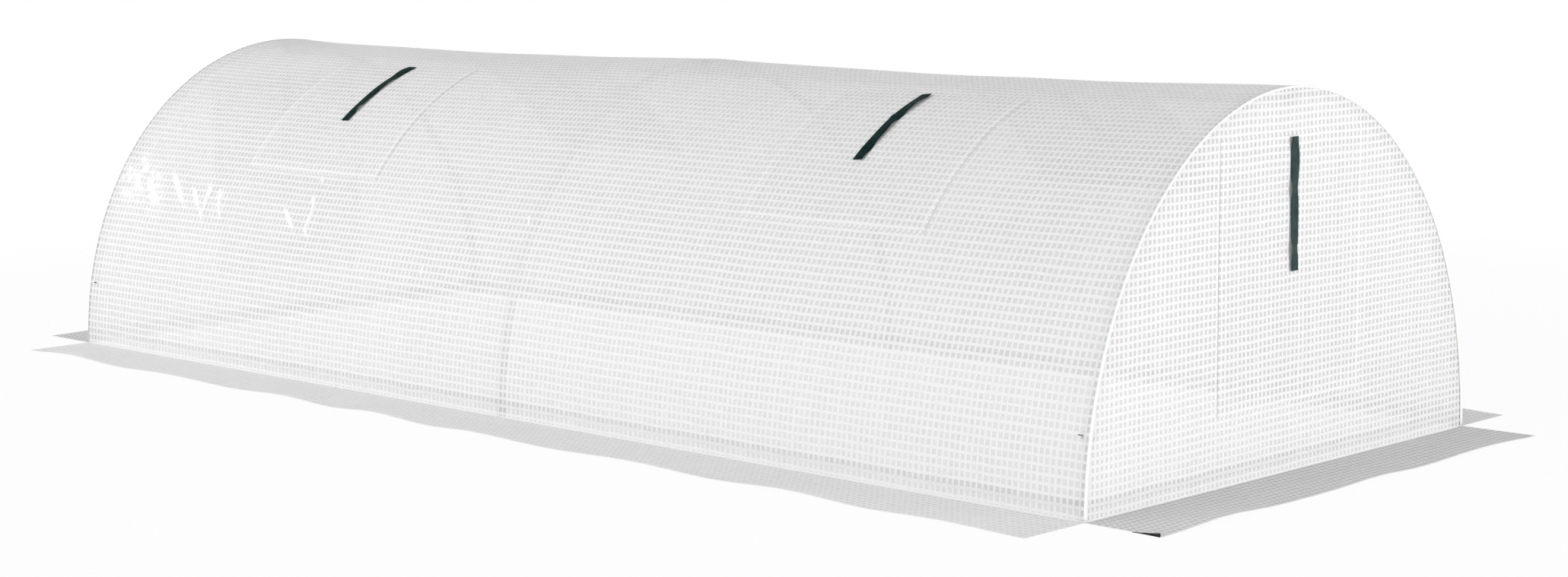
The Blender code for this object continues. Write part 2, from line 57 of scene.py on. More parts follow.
# Side windows. Distances along the slope are measured from the ridge
WINDOW_X = 0.79
WINDOW_WIDTH = 0.47
WINDOW_TOP = 0.172
WINDOW_BOTTOM = 0.556
WINDOW_BORDER = 0.028
WINDOW_TOP_BORDER = 0.014
HOLE_HALF = WINDOW_WIDTH / 2 - WINDOW_BORDER
HOLE_TOP = WINDOW_TOP + WINDOW_TOP_BORDER
HOLE_BOTTOM = WINDOW_BOTTOM - WINDOW_BORDER

# End windows
END_WINDOW_WIDTH = 0.45
END_WINDOW_TOP = 0.618
END_WINDOW_BOTTOM = 0.128
END_HOLE_HALF = 0.200
END_HOLE_TOP = 0.584
END_HOLE_BOTTOM = 0.186

# How far a net reaches past its opening, and how far it lies behind the film and the gap
NET_OVERLAP = 0.010
NET_BEHIND = 0.0004

# Tubes. A tube's middle lies TUBE_INSET inside the cover, and its end TUBE_START from the tube it meets
TUBE_RADIUS = 0.008
TUBE_WALL = 0.0008
TUBE_INSET = FILM + GAP + TUBE_RADIUS
TUBE_START = TUBE_RADIUS + GAP
HOOP_X = HALF_LENGTH - TUBE_INSET
FOOT_HEIGHT = 0.027
RIDGE_TUBE_Z = 0.6732

# Webbing
STRAP_WIDTH = 0.025
STRAP_THICKNESS = 0.0012
STRAP_CLEARANCE = 0.0006
STRAP_BELOW_HEM = 0.008
SIDE_STRAP_LENGTH = 0.223
END_STRAP_LENGTH = 0.243
STRAP_STEPS = 73
TIE_WIDTH = 0.012
TIE_HEIGHT = 0.146

# Greatest sizes of the meshes' cells. PANEL_TURN is an angle, because an end panel's columns close up
ROOF_STEP = 0.0105
FLAP_STEP = 0.0125
NET_STEP = 0.02
SKIRT_STEP = 0.02
PANEL_STEP = 0.018
PANEL_TURN = 0.032

ENDS = {"front": 1, "rear": -1}
SIDES = {"near": -1, "far": 1}
ROOT = "greenhouse"
ALONG_X = np.array([[1.0, 0.0, 0.0]])
ALONG_Y = np.array([[0.0, 1.0, 0.0]])


# Paths and grids


def grid(*parts):
    """The parts, spread over each other's rows and columns, side by side on the last axis of one array."""
    return np.stack(np.broadcast_arrays(*parts), axis=-1)


def lengths(path):
    """Distance of each point of a path from the first one, along the path."""
    return np.concatenate([[0.0], np.cumsum(np.linalg.norm(np.diff(path, axis=0), axis=1))])


def headings(path):
    """Direction of a path at each of its points, one long."""
    ahead = np.gradient(path, axis=0)
    return ahead / np.linalg.norm(ahead, axis=1, keepdims=True)


def ring(radius, turn):
    """Points of a circle about 0 at the angles of turn."""
    return radius * np.stack([np.cos(turn), np.sin(turn)], axis=1)


def stops(marks, step):
    """Values from the first mark to the last, through each one, in even steps no longer than step."""
    parts = [
        np.linspace(low, high, max(1, math.ceil((high - low) / step - 1e-9)) + 1)[:-1]
        for low, high in zip(marks, marks[1:])
    ]
    return np.append(np.concatenate(parts), marks[-1])


def smooth_step(value, low, high):
    """0 below low, 1 above high, and 3 t squared less 2 t cubed between them."""
    t = np.clip((value - low) / (high - low), 0.0, 1.0)
    return t * t * (3 - 2 * t)


# The cover's outline: a half ellipse, read by its distance along the slope from the ridge

TABLE_ANGLES = np.linspace(0.0, math.pi, 4001)
TABLE_DISTANCE = lengths(grid(-HALF_WIDTH * np.cos(TABLE_ANGLES), HEIGHT * np.sin(TABLE_ANGLES)))
SLOPE = TABLE_DISTANCE[-1] / 2
TABLE_DISTANCE = TABLE_DISTANCE - SLOPE


def arch(x, s):
    """Places on the smooth outline at x and at distance s from the ridge, and the outward directions there.

    s is below 0 on the near side. The angle a is read from the table of lengths. y is -0.6 cos a and z is
    0.7 sin a, and the direction is (0, -cos a / 0.6, sin a / 0.7) made one long.
    """
    angle = np.interp(s, TABLE_DISTANCE, TABLE_ANGLES)
    cos, sin = np.cos(angle), np.sin(angle)
    outward = grid(0.0, -cos / HALF_WIDTH, sin / HEIGHT)
    outward = outward / np.linalg.norm(outward, axis=-1, keepdims=True)
    return grid(x, -HALF_WIDTH * cos, HEIGHT * sin), outward


def near_slope(angle):
    """Distance from the ridge at an angle that is 0 at the near foot and a right angle at the ridge."""
    return np.interp(angle, TABLE_ANGLES, TABLE_DISTANCE)


# Folds in the film: x, distance from the ridge, angle, half length, half width, height (m, degrees, m)
FOLDS = [
    (-1.22, -0.62, -40, 0.10, 0.014, 0.0022),
    (-1.12, -0.65, -70, 0.08, 0.012, 0.0020),
    (-0.80, -0.67, -42, 0.07, 0.012, 0.0018),
    (-0.72, -0.66, -88, 0.08, 0.012, 0.0018),
    (-1.07, -0.85, -56, 0.10, 0.014, 0.0022),
    (-0.71, -0.91, -38, 0.09, 0.014, 0.0020),
    (-0.35, -0.50, 60, 0.22, 0.022, 0.0018),
    (-0.18, -0.78, 48, 0.15, 0.016, 0.0014),
    (0.20, -0.92, -37, 0.06, 0.012, 0.0020),
    (0.27, -0.91, -39, 0.06, 0.011, 0.0018),
    (0.38, -0.94, -42, 0.05, 0.011, 0.0018),
    (0.57, -0.94, -53, 0.07, 0.012, 0.0024),
    (0.69, -0.93, -49, 0.06, 0.012, 0.0020),
    (0.76, -0.97, -52, 0.04, 0.012, 0.0022),
    (1.09, -0.90, -30, 0.05, 0.012, 0.0016),
    (1.23, -0.93, -61, 0.07, 0.012, 0.0020),
    (1.42, -0.91, -32, 0.05, 0.012, 0.0018),
    (0.22, -0.60, 64, 0.26, 0.024, 0.0016),
    (0.95, -0.74, 58, 0.20, 0.020, 0.0014),
    (1.30, 0.50, 110, 0.22, 0.022, 0.0022),
    (0.62, 0.94, 52, 0.07, 0.012, 0.0022),
    (0.35, 0.62, 118, 0.24, 0.022, 0.0022),
    (-0.30, 0.70, 112, 0.20, 0.018, 0.0018),
    (-0.74, 0.92, 44, 0.07, 0.012, 0.0020),
    (-1.20, 0.60, 64, 0.20, 0.018, 0.0022),
]
WAVES = np.random.default_rng(7).uniform(size=(18, 4))
WAVE_HEIGHT = 0.00035


def film_folds(x, s):
    """How far the roof film stands out of its smooth shape.

    The sum of some long ridges, each a bell across its line and along it, and of weak sine waves 0.25 to
    0.7 m long in all directions. Both fade out over the hoops and at the ground line.
    """
    x, s = np.broadcast_arrays(x, s)
    out = np.zeros(x.shape)
    for fold_x, fold_s, turn, half_long, half_wide, height in FOLDS:
        cos, sin = math.cos(math.radians(turn)), math.sin(math.radians(turn))
        along = (x - fold_x) * cos + (s - fold_s) * sin
        across = -(x - fold_x) * sin + (s - fold_s) * cos
        out += height * np.exp(-0.5 * (along / half_long) ** 2 - 0.5 * (across / half_wide) ** 2)
    for heading, stretch, phase, weight in WAVES:
        turn = math.pi * heading
        path = (x * math.cos(turn) + s * math.sin(turn)) / (0.25 + 0.45 * stretch)
        out += WAVE_HEIGHT * weight * np.sin(2 * math.pi * (path + phase))
    for hoop in (-HOOP_X, 0.0, HOOP_X):
        out = out * smooth_step(np.abs(x - hoop), 0.010, 0.10)
    return out * smooth_step(SLOPE - np.abs(s), 0.01, 0.05)


def cover_place(x, s, lift):
    """Places on the roof film, moved out by lift.

    Between the hoops the film hangs in by 10 mm times 4 b (1 - b) times the square of the sine of its
    angle, where b is the share of the bay, and the folds stand out of that.
    """
    places, outward = arch(x, s)
    bay = np.clip(np.abs(x) / HOOP_X, 0.0, 1.0)
    sag = RIDGE_SAG * 4 * bay * (1 - bay) * (places[..., 2] / HEIGHT) ** 2
    return places + (lift - sag + film_folds(x, s))[..., None] * outward


def end_ripple(y, z):
    """How far an end panel hangs in: slow waves up to 1.6 mm deep, 0 at the arch and at the ground."""
    depth = 0.8 + 0.5 * np.sin(9.5 * y + 3.1 * z + 0.6) + 0.3 * np.sin(4.2 * y - 11.0 * z)
    inside = 1 - np.sqrt((y / HALF_WIDTH) ** 2 + (z / HEIGHT) ** 2)
    return -0.001 * depth * smooth_step(inside, 0.02, 0.25) * smooth_step(z, 0.03, 0.15)


def panel_place(end, y, z, lift):
    """Places on an end panel's outer face, moved out by lift."""
    return grid(end * (HALF_LENGTH + end_ripple(y, z) + lift), y, z)


# Meshes


def sheet_mesh(name, places, flat, kept=None, wrap=(False, False), flip=False, spread=False):
    """A mesh over a grid of places, rows by columns, with the map of flat sizes in metres.

    kept marks the cells that have a face. wrap joins the last row or column to the first. spread adds a
    second map, which fills the unit square.
    """
    rows, columns = places.shape[:2]
    down = np.arange(rows if wrap[0] else rows - 1)
    over = np.arange(columns if wrap[1] else columns - 1)
    row, column = np.meshgrid(down, over, indexing="ij")
    if kept is not None:
        row, column = row[kept], column[kept]
    row, column = row.ravel(), column.ravel()
    corner_rows = np.stack([row, row + 1, row + 1, row], axis=1)
    corner_columns = np.stack([column, column, column + 1, column + 1], axis=1)
    if flip:
        corner_rows, corner_columns = corner_rows[:, ::-1], corner_columns[:, ::-1]
    index = (corner_rows % rows) * columns + corner_columns % columns
    used, faces = np.unique(index, return_inverse=True)
    mesh = bpy.data.meshes.new(name)
    mesh.vertices.add(len(used))
    mesh.vertices.foreach_set("co", places.reshape(-1, 3)[used].astype(np.float32).ravel())
    mesh.loops.add(faces.size)
    mesh.loops.foreach_set("vertex_index", faces.astype(np.int32).ravel())
    mesh.polygons.add(len(index))
    mesh.polygons.foreach_set("loop_start", np.arange(0, faces.size, 4, dtype=np.int32))
    mesh.polygons.foreach_set("use_smooth", np.ones(len(index), dtype=bool))
    wide, tall = flat.shape[:2]
    at = flat[np.minimum(corner_rows, wide - 1), np.minimum(corner_columns, tall - 1)]
    maps = {"flat": at}
    if spread:
        low, high = at.min(axis=(0, 1)), at.max(axis=(0, 1))
        maps["OFBake"] = (at - low) / (high - low)
    for title, points in maps.items():
        layer = mesh.uv_layers.new(name=title)
        layer.data.foreach_set("uv", points.astype(np.float32).ravel())
    mesh.update()
    mesh.validate()
    return mesh


def closed_mesh(name, rings, flat, flip=False):
    """A mesh over closed rings, one for each row, whose first and last rings are filled to their middle."""
    low, high = (row.mean(axis=1, keepdims=True) + 0 * row for row in (rings[:1], rings[-1:]))
    places = np.concatenate([low, rings, high])
    flat = np.concatenate([flat[:1], flat, flat[-1:]])
    return sheet_mesh(name, places, flat, wrap=(False, True), flip=flip)


def carried(name, path, across, outward, section, flip=False):
    """A closed section carried along a path, with flat ends.

    The place of section point (p, q) at a step is the path's place plus p times across plus q times
    outward. The section may be one for all steps or one for each. The map holds the way round the section
    and the length along the path.
    """
    section = np.broadcast_to(section, (len(path), *section.shape[-2:]))
    rings = path[:, None] + section[..., :1] * across[:, None] + section[..., 1:] * outward[:, None]
    around = lengths(np.vstack([section[0], section[0, :1]]))
    return closed_mesh(name, rings, grid(around[None], lengths(path)[:, None]), flip)


def joined(name, meshes):
    """Several meshes as one, kept apart as loose parts."""
    work = bmesh.new()
    for mesh in meshes:
        work.from_mesh(mesh)
    whole = bpy.data.meshes.new(name)
    work.to_mesh(whole)
    work.free()
    for mesh in meshes:
        bpy.data.meshes.remove(mesh)
    return whole


def placed(name, data):
    """A new object in the scene, which shows a mesh, a camera or a light."""
    obj = bpy.data.objects.new(name, data)
    bpy.context.scene.collection.objects.link(obj)
    return obj


def piece(name, mesh, material, body, solid):
    """A finished piece at the origin, with its finish, its body and the solid that it stands for."""
    obj = placed(name, mesh)
    mesh.materials.append(material)
    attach(obj, body)
    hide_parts(solid)
    return obj


# Materials

# Grid film: the share of the light that it passes on spread, its shine, the opacity of its tapes, how far
# the tapes waver, half the width of the weld at the ground, and the width of a flap's hem
THROUGH = 0.20
FILM_SHINE = 0.2
TAPE_ALPHA = 0.92
WAVER = 0.005
HALF_WELD = 0.004
HEM = 0.016

# Spacing of the webbing's yarns across and along, half that of the tape's ribs, and the net's holes.
# The real holes are about 1.5 mm wide and are drawn coarser, so that they can be seen
YARNS = (0.0016, 0.0013)
HALF_RIB = 0.0009
NET_HOLE = 0.0024

# Painted highlights, white where folds in the film catch the light: x, distance from the ridge, angle,
# half length, half width (m, degrees)
CREASE_HIGHLIGHTS = [
    (-1.252, -0.623, -40, 0.080, 0.0120),
    (-1.166, -0.643, -42, 0.050, 0.0090),
    (-1.125, -0.681, -47, 0.030, 0.0060),
    (-1.123, -0.647, -80, 0.060, 0.0050),
    (-1.126, -0.622, -72, 0.024, 0.0100),
    (-1.078, -0.639, -69, 0.036, 0.0080),
    (-1.059, -0.672, -50, 0.028, 0.0050),
    (-0.796, -0.668, -41, 0.050, 0.0080),
    (-0.734, -0.623, -62, 0.026, 0.0080),
    (-0.726, -0.660, -92, 0.038, 0.0055),
    (-0.721, -0.695, -48, 0.022, 0.0045),
    (-0.738, -0.567, -60, 0.020, 0.0050),
    (-0.296, -0.745, -94, 0.016, 0.0040),
    (-0.013, -0.613, -61, 0.018, 0.0040),
]

# Patches of painted highlight where many fine folds catch the light, given as the highlights above are
HIGHLIGHT_PATCHES = [
    (-1.414, -0.627, -56, 0.070, 0.050),
    (-1.356, -0.619, -51, 0.070, 0.050),
    (-1.455, -0.620, -53, 0.085, 0.042),
    (-1.420, -0.576, -50, 0.060, 0.034),
    (-1.330, -0.655, -43, 0.080, 0.040),
    (-1.070, -0.640, -60, 0.040, 0.030),
]


def shade(code):
    """An sRGB hex colour as the linear values that a shader takes."""
    values = [int(code[at:at + 2], 16) / 255 for at in (1, 3, 5)]
    linear = [v / 12.92 if v <= 0.04045 else ((v + 0.055) / 1.055) ** 2.4 for v in values]
    return (*linear, 1.0)


def add(tree, kind, inputs=None, **settings):
    """Add a node with its settings. inputs gives a value, a node or an output for each socket.

    A socket is given by name or number, and a node stands for its first output. MapRange takes the range
    of sockets 1 and 2 to that of 3 and 4, each of them 0 to 1 unless set, and Mix goes from 6 to 7.
    """
    node = tree.nodes.new("ShaderNode" + kind)
    for name, value in settings.items():
        setattr(node, name, value)
    for socket, value in (inputs or {}).items():
        if isinstance(value, bpy.types.Node):
            value = value.outputs[0]
        if isinstance(value, bpy.types.NodeSocket):
            tree.links.new(value, node.inputs[socket])
        else:
            node.inputs[socket].default_value = value
    return node


def new_material(name):
    """A material without nodes, and its tree."""
    material = bpy.data.materials.new(name)
    material.use_nodes = True
    material.node_tree.nodes.clear()
    return material, material.node_tree


def finished(material, tone, shades, rough, height, bump, others=None):
    """The material with a shader whose colour goes through the two shades with tone.

    height is the pattern of its relief, and bump is the relief's strength and depth.
    """
    tree = material.node_tree
    dark, light = shades
    colour = add(tree, "Mix", {0: tone, 6: shade(dark), 7: shade(light)}, data_type="RGBA").outputs[2]
    relief = add(tree, "Bump", {"Strength": bump[0], "Distance": bump[1], "Height": height})
    inputs = {"Base Color": colour, "Roughness": rough, "Normal": relief, **(others or {})}
    add(tree, "OutputMaterial", {0: add(tree, "BsdfPrincipled", inputs)})
    return material


def from_threads(tree, place, spacing, most):
    """Two nodes that go from 0 to most and back, across and along the threads, by one for each spacing."""
    counts = (1 / spacing[0], 1 / spacing[1], 0.0)
    axis = add(tree, "SeparateXYZ", {0: add(tree, "VectorMath", {0: place, 1: counts}, operation="MULTIPLY")})
    return [add(tree, "Math", {0: axis.outputs[way], 1: most}, operation="PINGPONG") for way in (0, 1)]


def tape(tree, count, width):
    """1 on a tape and 0 between tapes. Tapes lie at whole numbers and each has its own width."""
    off = add(tree, "Math", {0: count, 1: 0.5}, operation="PINGPONG")
    number = add(tree, "Math", {0: count}, operation="ROUND")
    lot = add(tree, "TexWhiteNoise", {"W": number}, noise_dimensions="1D")
    low = add(tree, "MapRange", {0: lot, 3: 0.34 * width, 4: 0.54 * width})
    high = add(tree, "Math", {0: low, 1: 0.11}, operation="ADD")
    return add(tree, "MapRange", {0: off, 1: low, 2: high, 3: 1.0, 4: 0.0}, interpolation_type="SMOOTHSTEP")


def hemmed(tree, place, spot, down, flap, colour, alpha):
    """Colour and opacity of a flap, whose hem is two layers thick and whose edge has a fine grey line of
    painted shadow.

    spot is the place taken apart, and down is its second part without its sign. flap gives half the flap's
    width and the bottom of it, and how dark the painted shadow at its edge is.
    """
    half, bottom, shadow_line_share = flap
    beside = add(tree, "Math", {0: spot.outputs[0]}, operation="ABSOLUTE")
    to_side = add(tree, "Math", {0: half, 1: beside}, operation="SUBTRACT")
    past = add(tree, "Math", {0: down, 1: bottom}, operation="SUBTRACT")
    to_bottom = add(tree, "Math", {0: past}, operation="ABSOLUTE")
    to_edge = add(tree, "Math", {0: to_side, 1: to_bottom}, operation="MINIMUM")
    hem = add(tree, "MapRange", {0: to_edge, 1: HEM - 0.0005, 2: HEM + 0.0005, 3: 1.0, 4: 0.0})
    # Painted shadow: a fine grey line along the flap's free edges, broken up by noise
    line = add(tree, "MapRange", {0: to_edge, 1: 0.0008, 2: 0.0018, 3: 1.0, 4: 0.0})
    shadow_line_breaks = add(tree, "TexNoise", {"Vector": place, "Scale": 34.0, "Detail": 2.0})
    broken = add(tree, "MapRange", {0: shadow_line_breaks, 1: 0.42, 2: 0.66, 4: shadow_line_share})
    dark = add(tree, "Math", {0: line, 1: broken}, operation="MULTIPLY")
    colour = add(tree, "Mix", {0: dark, 6: colour, 7: shade("#7f8384")}, data_type="RGBA").outputs[2]
    denser = add(tree, "Math", {0: hem, 1: 0.10, 2: alpha}, operation="MULTIPLY_ADD")
    return colour, add(tree, "Math", {0: denser, 1: 1.0}, operation="MINIMUM")


def strongest(tree, place, marks):
    """The greatest of some ellipses, each 1 at its middle and 0 from its edge on."""
    greatest = 0.0
    for x, s, angle, half_long, half_wide in marks:
        frame_of = {
            "Vector": place, "Location": (x, s, 0.0), "Rotation": (0.0, 0.0, math.radians(angle)),
            "Scale": (half_long, half_wide, 1.0),
        }
        turned = add(tree, "Mapping", frame_of, vector_type="TEXTURE")
        one = add(tree, "TexGradient", {0: turned}, gradient_type="SPHERICAL").outputs["Fac"]
        greatest = add(tree, "Math", {0: greatest, 1: one}, operation="MAXIMUM")
    return greatest


def painted_crease_highlights(tree, place, shifted, colour, alpha):
    """Colour, opacity and shine of film with painted highlights, white where its folds catch the light.

    Film that has been stretched at a fold also shines more than the rest, and that shine is real.
    """
    # Painted highlights: white along single folds, and white patches broken up by noise
    sharp = add(tree, "MapRange", {0: strongest(tree, shifted, CREASE_HIGHLIGHTS), 1: 0.02, 2: 0.40})
    fine = add(tree, "TexNoise", {"Vector": place, "Scale": 42.0, "Detail": 4.0})
    patch_highlight = add(tree, "MapRange", {0: fine, 1: 0.40, 2: 0.58, 3: 0.10, 4: 1.9})
    soft = add(tree, "Math", {0: strongest(tree, shifted, HIGHLIGHT_PATCHES), 1: patch_highlight}, operation="MULTIPLY")
    highlight = add(tree, "Math", {0: sharp, 1: soft}, operation="MAXIMUM", use_clamp=True)
    colour = add(tree, "Mix", {0: highlight, 6: colour, 7: shade("#ffffff")}, data_type="RGBA").outputs[2]
    alpha = add(tree, "Math", {0: alpha, 1: highlight}, operation="MAXIMUM")
    return colour, alpha, add(tree, "MapRange", {0: highlight, 2: 0.8, 3: FILM_SHINE, 4: 1.0})


def grid_film(name, spacing, width, clear, thread, cell_alpha, foot, flap=None, crease_highlights=False):
    """Polyethylene film with a woven-in grid of white tapes, laminated between two clear layers.

    spacing and width are those of the columns and of the rows, and a width is a tape's share of its
    spacing. The tapes are nearly opaque. The cells between them are hazy: part of the light passes spread,
    part straight. foot is where the film is welded along the ground, as a distance on the map, and that
    weld is white. flap is given where the film is a hemmed flap, as hemmed() takes it.
    """
    material, tree = new_material(name)
    place = add(tree, "UVMap", uv_map="flat")

    # The tapes waver by about half a millimetre, as a loose weave does
    waver = add(tree, "TexNoise", {"Vector": place, "Scale": 9.0, "Detail": 2.0})
    centred = add(tree, "VectorMath", {0: waver.outputs["Color"], 1: (0.5, 0.5, 0.5)}, operation="SUBTRACT")
    moved = {0: centred, 1: (WAVER, WAVER, 0.0), 2: place}
    shifted = add(tree, "VectorMath", moved, operation="MULTIPLY_ADD")
    counts = (1 / spacing[0], 1 / spacing[1], 0.0)
    counted = add(tree, "VectorMath", {0: shifted, 1: counts}, operation="MULTIPLY")
    axis = add(tree, "SeparateXYZ", {0: counted})
    columns, rows = (tape(tree, axis.outputs[number], width[number]) for number in (0, 1))
    either = add(tree, "Math", {0: columns, 1: rows}, operation="MAXIMUM")
    spot = add(tree, "SeparateXYZ", {0: place})
    down = add(tree, "Math", {0: spot.outputs[1]}, operation="ABSOLUTE")
    weld = add(tree, "Math", {0: down, 1: foot, 2: HALF_WELD}, operation="COMPARE")
    woven = add(tree, "Math", {0: either, 1: weld}, operation="MAXIMUM")

    # Each cell is a little lighter or darker than its neighbours
    whole = add(tree, "VectorMath", {0: counted}, operation="FLOOR")
    dice = add(tree, "TexWhiteNoise", {"Vector": whole}, noise_dimensions="2D")
    haze = add(tree, "TexNoise", {"Vector": place, "Scale": 2.6, "Detail": 3.0})
    both = add(tree, "Math", {0: dice, 1: 0.35, 2: haze}, operation="MULTIPLY_ADD")
    tone = add(tree, "MapRange", {0: both, 1: 0.3})
    light = shade(clear)
    darker = (*(0.90 * value for value in light[:3]), 1.0)
    cell = add(tree, "Mix", {0: tone, 6: darker, 7: light}, data_type="RGBA").outputs[2]
    colour = add(tree, "Mix", {0: woven, 6: cell, 7: shade(thread)}, data_type="RGBA").outputs[2]
    alpha = add(tree, "MapRange", {0: woven, 3: cell_alpha, 4: TAPE_ALPHA})
    shine = FILM_SHINE
    if flap is not None:
        colour, alpha = hemmed(tree, place, spot, down, flap, colour, alpha)
    # Painted highlights where the roof film's folds catch the light
    if crease_highlights:
        colour, alpha, shine = painted_crease_highlights(tree, place, shifted, colour, alpha)

    # The tapes stand 0.15 mm proud, and the film between them is drawn a little tight
    crinkle = add(tree, "TexNoise", {"Vector": place, "Scale": 60.0, "Detail": 3.0})
    height = add(tree, "Math", {0: crinkle, 1: 0.35, 2: woven}, operation="MULTIPLY_ADD")
    bump = add(tree, "Bump", {"Strength": 0.35, "Distance": 0.0004, "Height": height})
    rough = add(tree, "MapRange", {0: woven, 3: 0.46, 4: 0.58})
    surface = add(tree, "BsdfPrincipled", {
        "Base Color": colour, "Alpha": alpha, "Roughness": rough, "Normal": bump, "IOR": 1.5,
        "Specular IOR Level": shine,
    })

    # Part of the light that meets the film comes out on its other side
    passed = add(tree, "BsdfTranslucent", {"Color": colour, "Normal": bump})
    add(tree, "OutputMaterial", {0: add(tree, "MixShader", {0: THROUGH, 1: surface, 2: passed})})
    return material


def webbing(name, dark, light, gloss):
    """Polypropylene webbing: a plain weave of flat yarns with a faint sheen and some pale wear.

    gloss is the strength of its reflections.
    """
    material, tree = new_material(name)
    place = add(tree, "UVMap", uv_map="flat")
    over, under = from_threads(tree, place, YARNS, 1.0)
    crossed = add(tree, "Math", {0: over, 1: under}, operation="SUBTRACT")
    rib = add(tree, "Math", {0: crossed}, operation="ABSOLUTE")
    wear = add(tree, "TexNoise", {"Vector": place, "Scale": 55.0, "Detail": 4.0})
    share = add(tree, "Math", {0: rib, 1: 0.5, 2: wear}, operation="MULTIPLY_ADD")
    tone = add(tree, "MapRange", {0: share, 1: 0.35})
    rough = add(tree, "MapRange", {0: tone, 3: 0.72, 4: 0.5})
    others = {"Sheen Weight": 0.01, "Specular IOR Level": gloss}
    return finished(material, tone, (dark, light), rough, share, (0.6, 0.0003), others)


def edge_tape_material():
    """White polypropylene tape folded over the film's edge: fine ribs across it, and a little soiling."""
    material, tree = new_material("white_polypropylene_tape")
    place = add(tree, "UVMap", uv_map="flat")
    axis = add(tree, "SeparateXYZ", {0: place})
    ribs = add(tree, "Math", {0: axis.outputs[1], 1: HALF_RIB}, operation="PINGPONG")
    rib = add(tree, "Math", {0: ribs, 1: 1 / HALF_RIB}, operation="MULTIPLY")
    patch = add(tree, "TexNoise", {"Vector": place, "Scale": 30.0, "Detail": 3.0})
    tone = add(tree, "Math", {0: rib, 1: 0.3, 2: patch}, operation="MULTIPLY_ADD")
    rough = add(tree, "MapRange", {0: patch, 3: 0.5, 4: 0.66})
    return finished(material, tone, ("#f1f2f1", "#fbfbfa"), rough, tone, (0.4, 0.0003))


def insect_net_material():
    """White knitted polyethylene net: fine matt threads with open holes."""
    material, tree = new_material("white_knitted_net")
    place = add(tree, "UVMap", uv_map="flat")
    across, along = from_threads(tree, place, (NET_HOLE, NET_HOLE), 0.5)
    nearest = add(tree, "Math", {0: across, 1: along}, operation="MINIMUM")
    edge = {0: nearest, 1: 0.10, 2: 0.20, 3: 1.0, 4: 0.0}
    thread = add(tree, "MapRange", edge, interpolation_type="SMOOTHSTEP")
    alpha = add(tree, "MapRange", {0: thread, 3: 0.06, 4: 0.95})
    fluff = add(tree, "TexNoise", {"Vector": place, "Scale": 120.0, "Detail": 3.0})
    return finished(material, fluff, ("#d9dcdb", "#f0f1f0"), 0.7, thread, (0.5, 0.0003), {"Alpha": alpha})


def steel_material():
    """Hot-dip galvanised steel tube: bright grey zinc with a fine spangle, partly dulled."""
    material, tree = new_material("galvanised_steel")
    place = add(tree, "TexCoord").outputs["Object"]
    spangle = add(tree, "TexVoronoi", {"Vector": place, "Scale": 260.0})
    cloud = add(tree, "TexNoise", {"Vector": place, "Scale": 14.0, "Detail": 4.0})
    mixed = add(tree, "Math", {0: spangle, 1: 0.5, 2: cloud}, operation="MULTIPLY_ADD")
    tone = add(tree, "MapRange", {0: mixed, 1: 0.3})
    rough = add(tree, "MapRange", {0: tone, 3: 0.6, 4: 0.44})
    return finished(material, tone, ("#c9cbcc", "#e2e4e4"), rough, mixed, (0.15, 0.0002), {"Metallic": 0.65})


def plastic_material():
    """Injection-moulded light grey polypropylene with a fine eroded texture."""
    material, tree = new_material("moulded_polypropylene")
    place = add(tree, "TexCoord").outputs["Object"]
    grain = add(tree, "TexNoise", {"Vector": place, "Scale": 900.0, "Detail": 3.0})
    cloud = add(tree, "TexNoise", {"Vector": place, "Scale": 60.0, "Detail": 2.0})
    rough = add(tree, "MapRange", {0: cloud, 3: 0.42, 4: 0.58})
    return finished(material, cloud, ("#b4b7b7", "#c6c9c9"), rough, grain, (0.2, 0.0001))


ROOF_GRID = (0.0133, 0.0156), (0.30, 0.30)
END_GRID = (0.0127, 0.01325), (0.40, 0.34)
ROOF_LOOK = (*ROOF_GRID, "#f1f1f1", "#fcfcfc", 0.70, SLOPE)
END_LOOK = (*END_GRID, "#eaeaea", "#fcfcfc", 0.67, 0.0)
ROOF_FILM = grid_film("woven_grid_film_roof", *ROOF_LOOK, crease_highlights=True)
# The last number given for a flap is the strength of the painted shadow at its edges
FLAP_FILM = grid_film("woven_grid_film_flap", *ROOF_LOOK, flap=(WINDOW_WIDTH / 2, WINDOW_BOTTOM, 0.14))
END_FILM = grid_film("woven_grid_film_end", *END_LOOK)
END_FLAP_FILM = grid_film(
    "woven_grid_film_end_flap", *END_LOOK, flap=(END_WINDOW_WIDTH / 2, END_WINDOW_BOTTOM, 0.10)
)
SIDE_SKIRT_FILM = grid_film(
    "woven_grid_film_side_skirt", *ROOF_GRID, "#efefef", "#fbfbfb", 0.84, SKIRT_WIDTH
)
# The end skirts are the same film as the side skirts, drawn greyer in cells and tapes: painted shade
SHADED_END_SKIRT_FILM = grid_film(
    "woven_grid_film_end_skirt_painted_shade", *ROOF_GRID, "#c6c6c6", "#eaeaea", 0.84, SKIRT_WIDTH
)
TAPE = edge_tape_material()
NET = insect_net_material()
GREEN = webbing("green_polypropylene_webbing", "#041412", "#0c2f2c", 0.03)
# The end straps are the side straps' green webbing, drawn lighter and greyer: painted sheen where the front
# light falls on them
SHEEN_PAINTED_GREEN = webbing("green_polypropylene_webbing_painted_sheen", "#1b2f2d", "#344a49", 0.15)
BLACK = webbing("black_polypropylene_webbing", "#101312", "#232928", 0.2)
STEEL = steel_material()
PLASTIC = plastic_material()


# Roof film and end panels


